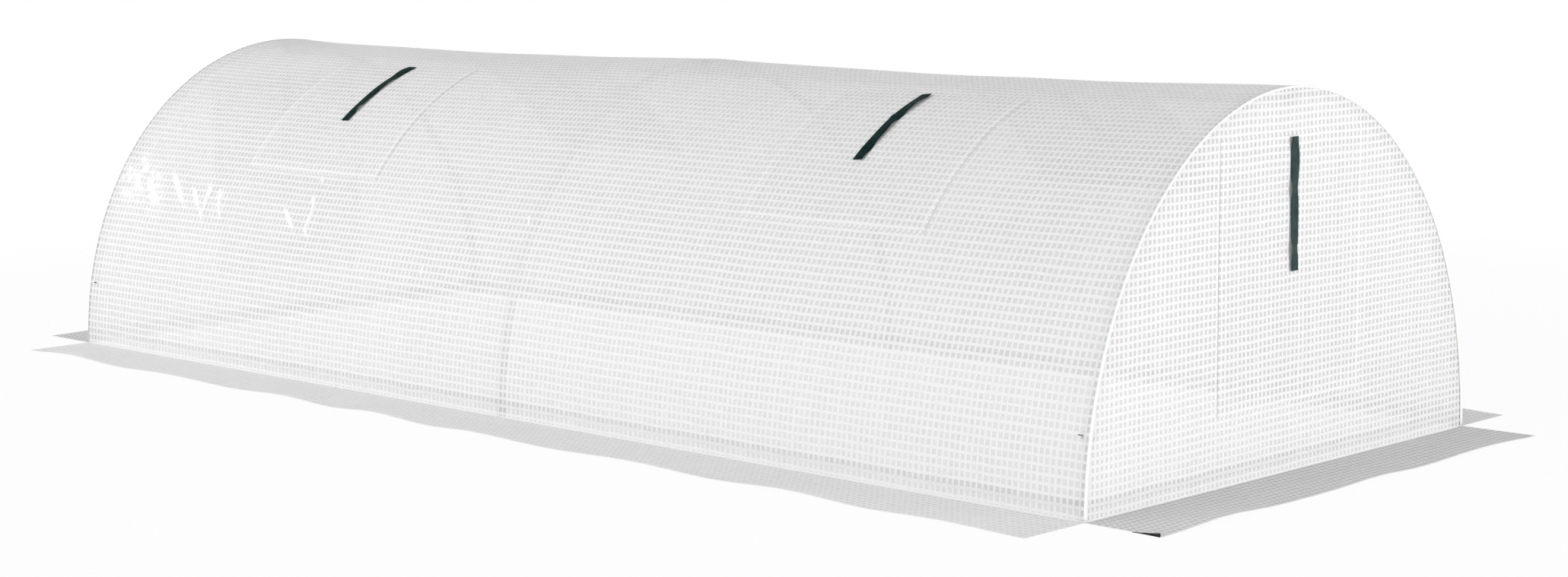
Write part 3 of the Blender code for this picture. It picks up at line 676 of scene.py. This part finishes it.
def build_roof():
    """The film from ground line to ground line, with its four window openings."""
    edges = [centre + side * HOLE_HALF for centre in (-WINDOW_X, WINDOW_X) for side in (-1, 1)]
    xs = stops([-HALF_LENGTH, *edges, HALF_LENGTH], ROOF_STEP)[:, None]
    ss = stops([-SLOPE, -HOLE_BOTTOM, -HOLE_TOP, 0.0, HOLE_TOP, HOLE_BOTTOM, SLOPE], ROOF_STEP)[None]
    mid_x, mid_s = np.abs(xs[1:] + xs[:-1]) / 2, np.abs(ss[:, 1:] + ss[:, :-1]) / 2
    kept = (np.abs(mid_x - WINDOW_X) > HOLE_HALF) | (mid_s < HOLE_TOP) | (mid_s > HOLE_BOTTOM)
    places = cover_place(xs, ss, -FILM / 2)
    mesh = sheet_mesh("film_roof", places, grid(xs, ss), kept, flip=True, spread=True)
    roof = piece("film_roof", mesh, ROOF_FILM, ROOT, "cover_roof")


def panel_height(y):
    """Height of the end panel's arch at y, on the ellipse 1.3 mm inside the cover's outline."""
    across = y / (HALF_WIDTH - PANEL_INSET)
    return (HEIGHT - PANEL_INSET) * np.sqrt(np.clip(1 - across ** 2, 0.0, 1.0))


def build_end_panel(name, end, tape):
    """The film of one end, with its window opening. The tape is not used.

    Columns stand at y = w sin(t), so that they close up at the feet. Within the opening's width the rows
    are level up to its top and then fan out to the arch. Beside it each column is scaled to its height.
    """
    reach = HALF_WIDTH - PANEL_INSET
    turn = math.asin(END_HOLE_HALF / reach)
    ys = reach * np.sin(stops([-math.pi / 2, -turn, turn, math.pi / 2], PANEL_TURN))[:, None]
    height, edge = panel_height(ys), panel_height(END_HOLE_HALF)
    low = stops([PANEL_FOOT, END_HOLE_BOTTOM, END_HOLE_TOP], PANEL_STEP)
    high = stops([END_HOLE_TOP, edge], PANEL_STEP)[1:]
    rows = np.concatenate([low, high])
    fan = END_HOLE_TOP + (high - END_HOLE_TOP) / (edge - END_HOLE_TOP) * (height - END_HOLE_TOP)
    middle = np.concatenate([np.broadcast_to(low, (len(ys), len(low))), fan], axis=1)
    zs = np.where(np.abs(ys) > END_HOLE_HALF + 1e-6, rows * height / edge, middle)
    mid_y, mid_row = np.abs(ys[1:] + ys[:-1]) / 2, (rows[1:] + rows[:-1]) / 2
    kept = (mid_y > END_HOLE_HALF) | (mid_row < END_HOLE_BOTTOM) | (mid_row > END_HOLE_TOP)
    places = panel_place(end, ys, zs, -FILM / 2)
    mesh = sheet_mesh(f"film_end_{name}", places, grid(ys, zs), kept, flip=end < 0, spread=True)
    panel = piece(f"film_end_{name}", mesh, END_FILM, ROOT, f"end_panel_{name}")


def build_edge_tape(name, end):
    """White tape folded over the edge where the roof film meets the end panel.

    Its section starts 1.5 mm back on the roof, turns round the edge and ends 4 mm in over the end panel, or
    9 mm near the ground. It is 0.5 mm thick and is carried round the arch.
    """
    back, reach, thick, round_by = 0.0015, 0.004, 0.0005, 0.0008
    turn = np.linspace(math.pi / 2, 0.0, 5)
    outer = np.vstack([[-back, thick], ring(round_by + thick, turn) - round_by, [thick, -reach]])
    inner = np.vstack([[0.0, -reach], ring(round_by, turn[::-1]) - round_by, [-back, 0.0]])
    out, up = (np.vstack([outer, inner]) * [end, 1.0]).T
    ss = np.linspace(-SLOPE + 0.002, SLOPE - 0.002, 181)
    path, outward = arch(end * (HALF_LENGTH + GAP / 2), ss)
    wider = 1 + 1.25 * smooth_step(np.abs(ss), 0.55, 0.95)[:, None]
    section = grid(out, np.where(up < -0.003, up * wider, up))
    path = path + GAP / 2 * outward
    mesh = carried(f"edge_tape_{name}", path, ALONG_X, outward, section, flip=end > 0)
    return piece(f"edge_tape_{name}", mesh, TAPE, ROOT, f"edge_binding_{name}")


# Ground skirts

# How far the front and rear skirts start from the cover's ends
END_SKIRT_GAP = 0.0014


def skirt_rise(along, out, length, seed):
    """Height of a skirt: low at the wall, and in uneven waves about 0.4 m long at its outer edge.

    The waves are 6 mm high and grow with the square of the way out, times a slow change of 25%, and are
    shifted along by up to 50 mm. Fine ripples 0.4 mm high and 0.13 m long come on top.
    """
    draw = np.random.default_rng(seed).uniform(size=4)
    waves = max(1, round(length / 0.4))
    shift = 0.05 * np.sin(2 * math.pi * (along / length * 1.7 + draw[0])) * (1 - (2 * along / length) ** 2)
    wave = 0.5 - 0.5 * np.cos(2 * math.pi * waves * ((along + shift) / length + 0.5))
    uneven = 1 + 0.25 * np.sin(2 * math.pi * (along / 1.1 + draw[1]))
    fine = 0.0004 * np.sin(2 * math.pi * (along / 0.13 + draw[2])) * (out / SKIRT_WIDTH)
    return 0.0009 + 0.006 * wave * uneven * (out / SKIRT_WIDTH) ** 2 + np.abs(fine)


def build_skirt(name, facing, start, length, seed, film):
    """One strip of film on the ground, from start on in the direction facing. Its edge wavers by 1.5 mm."""
    alongs = np.linspace(-length / 2, length / 2, round(length / SKIRT_STEP) + 1)[:, None]
    outs = np.linspace(0.0, SKIRT_WIDTH, 15)[None]
    edge = 0.0015 * np.sin(2 * math.pi * alongs / 0.37 + seed) * (outs / SKIRT_WIDTH) ** 2
    (cos, sin), away = facing, start + outs + edge
    rise = skirt_rise(alongs, outs, length, seed)
    places = grid(cos * away - sin * alongs, sin * away + cos * alongs, rise)
    mesh = sheet_mesh(f"film_skirt_{name}", places, grid(alongs, outs), spread=True)
    skirt = piece(f"film_skirt_{name}", mesh, film, ROOT, f"skirt_{name}")


def build_skirts(tab):
    """The four skirts. The tab is not used."""
    start, length = HALF_WIDTH + GAP, 2 * HALF_LENGTH
    for number, (name, side) in enumerate(SIDES.items()):
        build_skirt(name, (0, side), start, length, 11 + number, SIDE_SKIRT_FILM)
    start, length = HALF_LENGTH + END_SKIRT_GAP, 2 * HALF_WIDTH
    for number, (name, end) in enumerate(ENDS.items()):
        build_skirt(name, (end, 0), start, length, 21 + number, SHADED_END_SKIRT_FILM)


# Windows and straps


def edge_curl(from_side, from_bottom, from_top, height, reach):
    """How far a flap's free edges stand off the film: up to height within reach of them, 0 at its top."""
    from_edge = np.minimum(from_side, from_bottom)
    return height * (1 - smooth_step(from_edge, 0.0, reach)) * smooth_step(from_top, 0.0, 0.06)


def build_side_window(where, end, side):
    """A closed flap with its hems, and the net behind it."""
    centre, half = end * WINDOW_X, WINDOW_WIDTH / 2
    xs = stops([centre - half, centre + half], FLAP_STEP)[:, None]
    ss = stops([WINDOW_TOP, WINDOW_BOTTOM], FLAP_STEP)[None]
    curl = edge_curl(half - np.abs(xs - centre), WINDOW_BOTTOM - ss, ss - WINDOW_TOP, 0.0005, 0.022)
    lift = GAP + FILM / 2 + curl * (0.6 + 0.4 * np.sin(23 * xs + 31 * ss))
    places = cover_place(xs, side * ss, lift)
    mesh = sheet_mesh(f"flap_{where}", places, grid(xs - centre, ss), flip=side > 0, spread=True)
    body = f"window_flap_{where}"
    flap = piece(f"flap_{where}", mesh, FLAP_FILM, body, body)

    net_half, net_top, net_bottom = HOLE_HALF + NET_OVERLAP, HOLE_TOP - NET_OVERLAP, HOLE_BOTTOM + NET_OVERLAP
    xs = stops([centre - net_half, centre + net_half], NET_STEP)[:, None]
    ss = stops([net_top, net_bottom], NET_STEP)[None]
    places = cover_place(xs, side * ss, -FILM - GAP - NET_BEHIND)
    mesh = sheet_mesh(f"net_{where}", places, grid(xs - centre, ss), flip=side > 0)
    net = piece(f"net_{where}", mesh, NET, ROOT, f"window_screen_{where}")


def webbing_section(width):
    """A flat section with half-round edges, its lower face at 0."""
    radius = STRAP_THICKNESS / 2
    right = ring(radius, np.linspace(-math.pi / 2, math.pi / 2, 4)) + [width / 2 - radius, radius]
    inner = np.linspace(-0.6, 0.6, 4) * width / 2
    top = grid(inner[::-1], STRAP_THICKNESS)
    return np.vstack([grid(inner, 0.0), right, top, right[::-1] * [-1.0, 1.0]])


def twisted(share, level, bells):
    """How far a strap is turned about its own length, in radians: a level turn plus some bells.

    Each bell is (share of the strap's length, half length of the bell as a share, angle in degrees).
    """
    turn = np.full_like(share, float(level))
    for at, wide, angle in bells:
        turn += angle * np.exp(-0.5 * ((share - at) / wide) ** 2)
    return np.radians(turn)


def strap_lift(turn):
    """How high a strap's middle lies over the film under its flap, so that a turned strap's edge clears."""
    return GAP + FILM + STRAP_CLEARANCE + STRAP_WIDTH / 2 * np.abs(np.sin(turn))


def hang_strap(where, body, material, path, level, up, turn, flip=False):
    """A strap along a path on its flap, whose width lies along level, turned towards up by turn."""
    cos, sin = np.cos(turn)[:, None], np.sin(turn)[:, None]
    across, outward = level * cos + up * sin, up * cos - level * sin
    mesh = carried(f"strap_{where}", path, across, outward, webbing_section(STRAP_WIDTH), flip)
    strap = piece(f"strap_{where}", mesh, material, body, body)


def build_side_strap(where, end, side, top_shift, low_shift, level_turn, bells):
    """Webbing that hangs down a flap and winds a little. Its middle goes from top_shift to low_shift."""
    share = np.linspace(0.0, 1.0, STRAP_STEPS)
    turn = twisted(share, level_turn, bells)
    sway = 0.0010 * np.sin(2 * math.pi * (1.6 * share + 0.1)) * np.sin(math.pi * share)
    x = end * WINDOW_X + top_shift + (low_shift - top_shift) * share + sway
    s = side * (WINDOW_TOP + STRAP_BELOW_HEM + SIDE_STRAP_LENGTH * share)
    path, up = cover_place(x, s, strap_lift(turn)), arch(x, s)[1]
    hang_strap(where, f"window_strap_{where}", GREEN, path, ALONG_X, up, turn, side > 0)


def build_end_window(name, end):
    """An end's flap and net."""
    half = END_WINDOW_WIDTH / 2
    ys = stops([-half, half], FLAP_STEP)[:, None]
    zs = stops([END_WINDOW_BOTTOM, END_WINDOW_TOP], FLAP_STEP)[None]
    curl = edge_curl(half - np.abs(ys), zs - END_WINDOW_BOTTOM, END_WINDOW_TOP - zs, 0.0004, 0.02)
    places = panel_place(end, ys, zs, GAP + FILM / 2 + curl)
    mesh = sheet_mesh(f"flap_end_{name}", places, grid(ys, zs), flip=end < 0, spread=True)
    body = f"end_flap_{name}"
    flap = piece(f"flap_end_{name}", mesh, END_FLAP_FILM, body, body)

    net_half = END_HOLE_HALF + NET_OVERLAP
    ys = stops([-net_half, net_half], NET_STEP)[:, None]
    zs = stops([END_HOLE_BOTTOM - NET_OVERLAP, END_HOLE_TOP + NET_OVERLAP], NET_STEP)[None]
    places = panel_place(end, ys, zs, -FILM - GAP - NET_BEHIND)
    mesh = sheet_mesh(f"net_end_{name}", places, grid(ys, zs), flip=end < 0)
    net = piece(f"net_end_{name}", mesh, NET, ROOT, f"end_screen_{name}")


def build_end_strap(name, end, bells):
    """An end's strap, which hangs 6.5 mm askew and winds as a side strap does.

    One of its edges stays straight, so its middle sways by 0.21 mm for each degree of its turn.
    """
    share = np.linspace(0.0, 1.0, STRAP_STEPS)
    turn = twisted(share, 0.0, bells)
    z = END_WINDOW_TOP - STRAP_BELOW_HEM - END_STRAP_LENGTH * share
    y = end * (0.0065 * share + 0.00021 * np.degrees(turn))
    path, level, up = panel_place(end, y, z, strap_lift(turn)), end * ALONG_Y, end * ALONG_X
    hang_strap(f"end_{name}", f"end_strap_{name}", SHEEN_PAINTED_GREEN, path, level, up, turn)


# Frame


def build_tube(name, path, level):
    """A hollow round tube along a path, open at both ends. level is a direction square to the path.

    A direction round the path is the cosine of its turn times level plus the sine times the way up.
    """
    turn = np.linspace(0.0, 2 * math.pi, 29)
    up = np.cross(headings(path), level)[:, None]
    circle = np.cos(turn[:-1, None]) * level + np.sin(turn[:-1, None]) * up
    outer = path[:, None] + TUBE_RADIUS * circle
    inner = path[:, None] + (TUBE_RADIUS - TUBE_WALL) * circle
    along = lengths(path)
    along = np.concatenate([along, along[::-1] + 0.01, [0.0]])
    flat = grid(TUBE_RADIUS * turn[None], along[:, None])
    places = np.concatenate([outer, inner[::-1]])
    mesh = sheet_mesh(f"tube_{name}", places, flat, wrap=(True, True), flip=True)
    piece(f"tube_{name}", mesh, STEEL, ROOT, name)


def build_frame():
    """The hoops and the straight tubes, and the plastic on the connectors."""
    foot_angle = math.asin(FOOT_HEIGHT / HEIGHT)
    first, last = foot_angle + TUBE_START / HEIGHT, math.pi / 2 - TUBE_START / (HALF_WIDTH - TUBE_INSET)
    slopes = near_slope(np.linspace(first, last, 64))
    for name, x in (("front", HOOP_X), ("middle", 0.0), ("rear", -HOOP_X)):
        for side_name, side in SIDES.items():
            path, outward = arch(x, -side * slopes)
            build_tube(f"hoop_{name}_{side_name}", path - TUBE_INSET * outward, ALONG_X)
    foot, outward = arch(0.0, -near_slope(foot_angle))
    _, foot_y, foot_z = foot - TUBE_INSET * outward
    along = np.linspace(TUBE_START, HOOP_X - TUBE_START, 24)[:, None]
    over = np.linspace(TUBE_START - foot_y, foot_y - TUBE_START, 24)[:, None]
    for end_name, end in ENDS.items():
        run = end * along * ALONG_X
        build_tube(f"ridge_tube_{end_name}", run + [0.0, 0.0, RIDGE_TUBE_Z], ALONG_Y)
        for side_name, side in SIDES.items():
            build_tube(f"base_tube_{side_name}_{end_name}", run + [0.0, side * foot_y, foot_z], ALONG_Y)
        build_tube(f"end_tube_{end_name}", over * ALONG_Y + [end * HOOP_X, 0.0, foot_z], ALONG_X)
    for name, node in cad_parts.items():
        if "connector" in name:
            node.data.materials.clear()
            node.data.materials.append(PLASTIC)


# Small webbing

# A bar tack: where its middle is, its length, half the height of its zigzag, its stitches and its thread
TACK_X = 1.4805
TACK_LENGTH = 0.010
TACK_SWING = 0.0008
TACK_STITCHES = 15
TACK_THREAD = 0.0004
TACK_LIFT = 0.0006

# The tab at the corner of the front skirt
TAB_LENGTH = 0.058
TAB_HALF = 0.00075


def build_tie(where, end, side):
    """A band round the inner side of the hoop, sewn to the side film with a bar tack that shows outside.

    The band's section is carried along a quarter turn of 8.9 mm about the tube, with a straight piece at
    each end. The bar tack is a row of close stitches 10 mm long and 2.4 mm wide, as one zigzag line.
    """
    centre, outward = arch(end * HOOP_X, -side * near_slope(math.asin(TIE_HEIGHT / HEIGHT)))
    centre = centre - TUBE_INSET * outward
    along_x = end * ALONG_X
    radius = TUBE_RADIUS + GAP + STRAP_THICKNESS / 2
    reach = TUBE_RADIUS - GAP
    arc = ring(radius, np.linspace(math.pi, math.pi / 2, 13))
    line = np.vstack([[-radius, -reach], [-radius, -reach / 2], arc, [reach / 2, radius], [reach, radius]])
    path = centre + line[:, :1] * along_x - line[:, 1:] * outward
    ahead = headings(line)
    lift = -ahead[:, 1:] * along_x - ahead[:, :1] * outward
    section = webbing_section(TIE_WIDTH) - [0.0, STRAP_THICKNESS / 2]
    band = carried("band", path, -end * side * np.cross(along_x, outward), lift, section)

    stitch = np.arange(TACK_STITCHES)
    x = end * TACK_X + TACK_LENGTH * (stitch / (TACK_STITCHES - 1) - 0.5)
    z = TIE_HEIGHT + TACK_SWING * np.where(stitch % 2, 1.0, -1.0)
    path = cover_place(x, -side * near_slope(np.arcsin(z / HEIGHT)), TACK_LIFT)
    thread = ring(TACK_THREAD, np.linspace(0.0, 2 * math.pi, 9)[:-1])
    tack = carried("tack", path, np.cross(headings(path), outward), outward[None], thread)
    name = f"frame_tie_{where}"
    tie = piece(f"tie_{where}", joined(name, [band, tack]), BLACK, ROOT, name)


def build_corner_tab():
    """A black strip on edge under the near end of the front skirt, taller towards the corner, in the black
    webbing's finish.
    """
    outer = HALF_LENGTH + END_SKIRT_GAP + SKIRT_WIDTH - 0.004
    share = np.linspace(0.0, 1.0, 25)[:, None]
    up, over = np.array([(-1, 0), (-0.8, -1), (0.8, -1), (1, 0), (0.8, 1), (-0.8, 1)], float).T
    y = -HALF_WIDTH - GAP - TAB_HALF + 0.0008 * np.sin(5 * share)
    top = 0.001 + 0.0065 * share ** 1.3
    rings = grid(outer - TAB_LENGTH * (1 - share), y + TAB_HALF * over, GAP + (top - GAP) * (up + 1) / 2)
    mesh = closed_mesh("tab", rings, grid(0.003 * np.arange(7)[None], TAB_LENGTH * share))
    return piece("tab", mesh, BLACK, ROOT, "corner_tab")


# Each side strap: shift along X at its top and at its free end, its level turn, and its bells
SIDE_STRAPS = {
    "front_near": (-0.008, -0.016, 7, [
        (0.05, 0.03, -3), (0.19, 0.05, 4), (0.41, 0.045, -10), (0.54, 0.03, 4), (0.86, 0.045, -8),
    ]),
    "rear_near": (0.012, 0.0, 4, [
        (0.12, 0.09, -10.5), (0.35, 0.035, 5), (0.56, 0.04, -3), (0.81, 0.03, 10), (0.90, 0.03, -3),
    ]),
    "front_far": (0.004, -0.003, -6, [(0.10, 0.08, -3), (0.42, 0.06, 9), (0.76, 0.04, -6)]),
    "rear_far": (-0.005, 0.004, -7, [(0.25, 0.07, 8), (0.55, 0.04, -4), (0.85, 0.05, 8)]),
}
END_STRAPS = {
    "front": [
        (0.0, 0.05, -10), (0.16, 0.08, 3), (0.385, 0.045, -13), (0.60, 0.10, -2), (0.70, 0.05, -4),
        (0.835, 0.045, -17), (0.96, 0.04, -7),
    ],
    "rear": [(0.0, 0.06, -8), (0.30, 0.05, -12), (0.55, 0.08, 4), (0.72, 0.05, -15)],
}

build_roof()
build_skirts(build_corner_tab())
for end_name, end in ENDS.items():
    build_end_panel(end_name, end, build_edge_tape(end_name, end))
    build_end_window(end_name, end)
    build_end_strap(end_name, end, END_STRAPS[end_name])
    for side_name, side in SIDES.items():
        where = f"{end_name}_{side_name}"
        build_side_window(where, end, side)
        build_side_strap(where, end, side, *SIDE_STRAPS[where])
        build_tie(where, end, side)
build_frame()


# Camera, floor and light

# The camera's place, its directions and its lens in mm, fitted to the outlines in the photograph, and how
# far it sees
CAMERA_PLACE = (4.3958, -4.3206, 1.0326)
CAMERA_AHEAD = (-0.68793, 0.71335, -0.13376)
CAMERA_UP = (-0.08767, 0.10128, 0.99099)
CAMERA_LENS = 65.85
SIGHT = 60.0

# The floor: its corners, from where to where it turns plain white, how white it is up to there, and how
# much less so it is under the cover, further in than the edge's width
FLOOR_CORNERS = [(-40, -40, 0), (40, -40, 0), (40, 40, 0), (-40, 40, 0)]
WHITE_FROM = 1.9
WHITE_TO = 4.0
WHITE_SHARE = 0.94
COVERED_LESS = 0.25
COVERED_EDGE = 0.03


def build_camera():
    """The camera of the photograph. It looks along its own -Z, so its turn has right, up and back in it."""
    data = bpy.data.cameras.new("view")
    data.lens = CAMERA_LENS
    data.clip_end = SIGHT
    camera = placed("view", data)
    ahead = Vector(CAMERA_AHEAD).normalized()
    right = ahead.cross(Vector(CAMERA_UP)).normalized()
    turn = Matrix((right, right.cross(ahead), -ahead)).transposed().to_4x4()
    camera.matrix_world = Matrix.Translation(CAMERA_PLACE) @ turn
    bpy.context.scene.camera = camera


def build_floor():
    """A plain floor that the camera sees as nearly white and that keeps the object's soft shadow."""
    mesh = bpy.data.meshes.new("floor")
    mesh.from_pydata(FLOOR_CORNERS, [], [(0, 1, 2, 3)])
    floor = placed("floor", mesh)
    material, tree = new_material("floor")
    lit = add(tree, "BsdfDiffuse", {"Color": shade("#f2f2f2")})
    glow = add(tree, "Emission", {"Strength": 1.0})
    spot = add(tree, "TexCoord").outputs["Object"]
    away = add(tree, "VectorMath", {0: spot}, operation="LENGTH").outputs["Value"]
    white = {0: away, 1: WHITE_FROM, 2: WHITE_TO, 3: WHITE_SHARE}
    share = add(tree, "MapRange", white, interpolation_type="SMOOTHSTEP")

    # Under the cover a quarter is taken off, so that the ground there stays in its shade
    axis = add(tree, "SeparateXYZ", {0: spot})
    shaded = []
    for number, half in enumerate((HALF_LENGTH, HALF_WIDTH)):
        off = add(tree, "Math", {0: axis.outputs[number]}, operation="ABSOLUTE")
        inside = {0: off, 1: half - COVERED_EDGE, 2: half, 3: COVERED_LESS, 4: 0.0}
        shaded.append(add(tree, "MapRange", inside))
    under = add(tree, "Math", {0: shaded[0], 1: shaded[1]}, operation="MINIMUM")
    kept = add(tree, "Math", {0: share, 1: under}, operation="SUBTRACT")
    path = add(tree, "LightPath")
    seen = add(tree, "Math", {0: kept, 1: path.outputs["Is Camera Ray"]}, operation="MULTIPLY")
    add(tree, "OutputMaterial", {0: add(tree, "MixShader", {0: seen, 1: lit, 2: glow})})
    mesh.materials.append(material)


def add_softbox(name, place, aim, size, power):
    """A lamp of a rectangle's shape at a place, which shines its power in watts towards aim."""
    data = bpy.data.lights.new(name, "AREA")
    data.shape = "RECTANGLE"
    data.size, data.size_y = size
    data.energy = power
    lamp = placed(name, data)
    lamp.location = place
    lamp.rotation_euler = (Vector(aim) - Vector(place)).to_track_quat("-Z", "Y").to_euler()


def build_light():
    """An even white room, plus a large soft light on the front end and a weaker one on the near side."""
    world = bpy.data.worlds.new("room")
    bpy.context.scene.world = world
    world.use_nodes = True
    tree = world.node_tree
    tree.nodes.clear()
    path = add(tree, "LightPath")
    seen = path.outputs["Is Camera Ray"]
    for ray in ("Is Glossy Ray", "Is Transmission Ray"):
        seen = add(tree, "Math", {0: seen, 1: path.outputs[ray]}, operation="ADD")
    level = add(tree, "MapRange", {0: seen, 3: 0.50})
    shine = add(tree, "Background", {"Color": (1, 1, 1, 1), "Strength": level})
    add(tree, "OutputWorld", {0: shine})
    add_softbox("front_light", (9.0, 1.0, 0.9), (0.0, 0.0, 0.35), (5.0, 3.0), 440)
    add_softbox("side_light", (-3.2, -8.0, 3.4), (-0.4, 0.0, 0.3), (9.0, 3.0), 470)


build_camera()
build_floor()
build_light()
bpy.context.scene.view_settings.view_transform = "Standard"
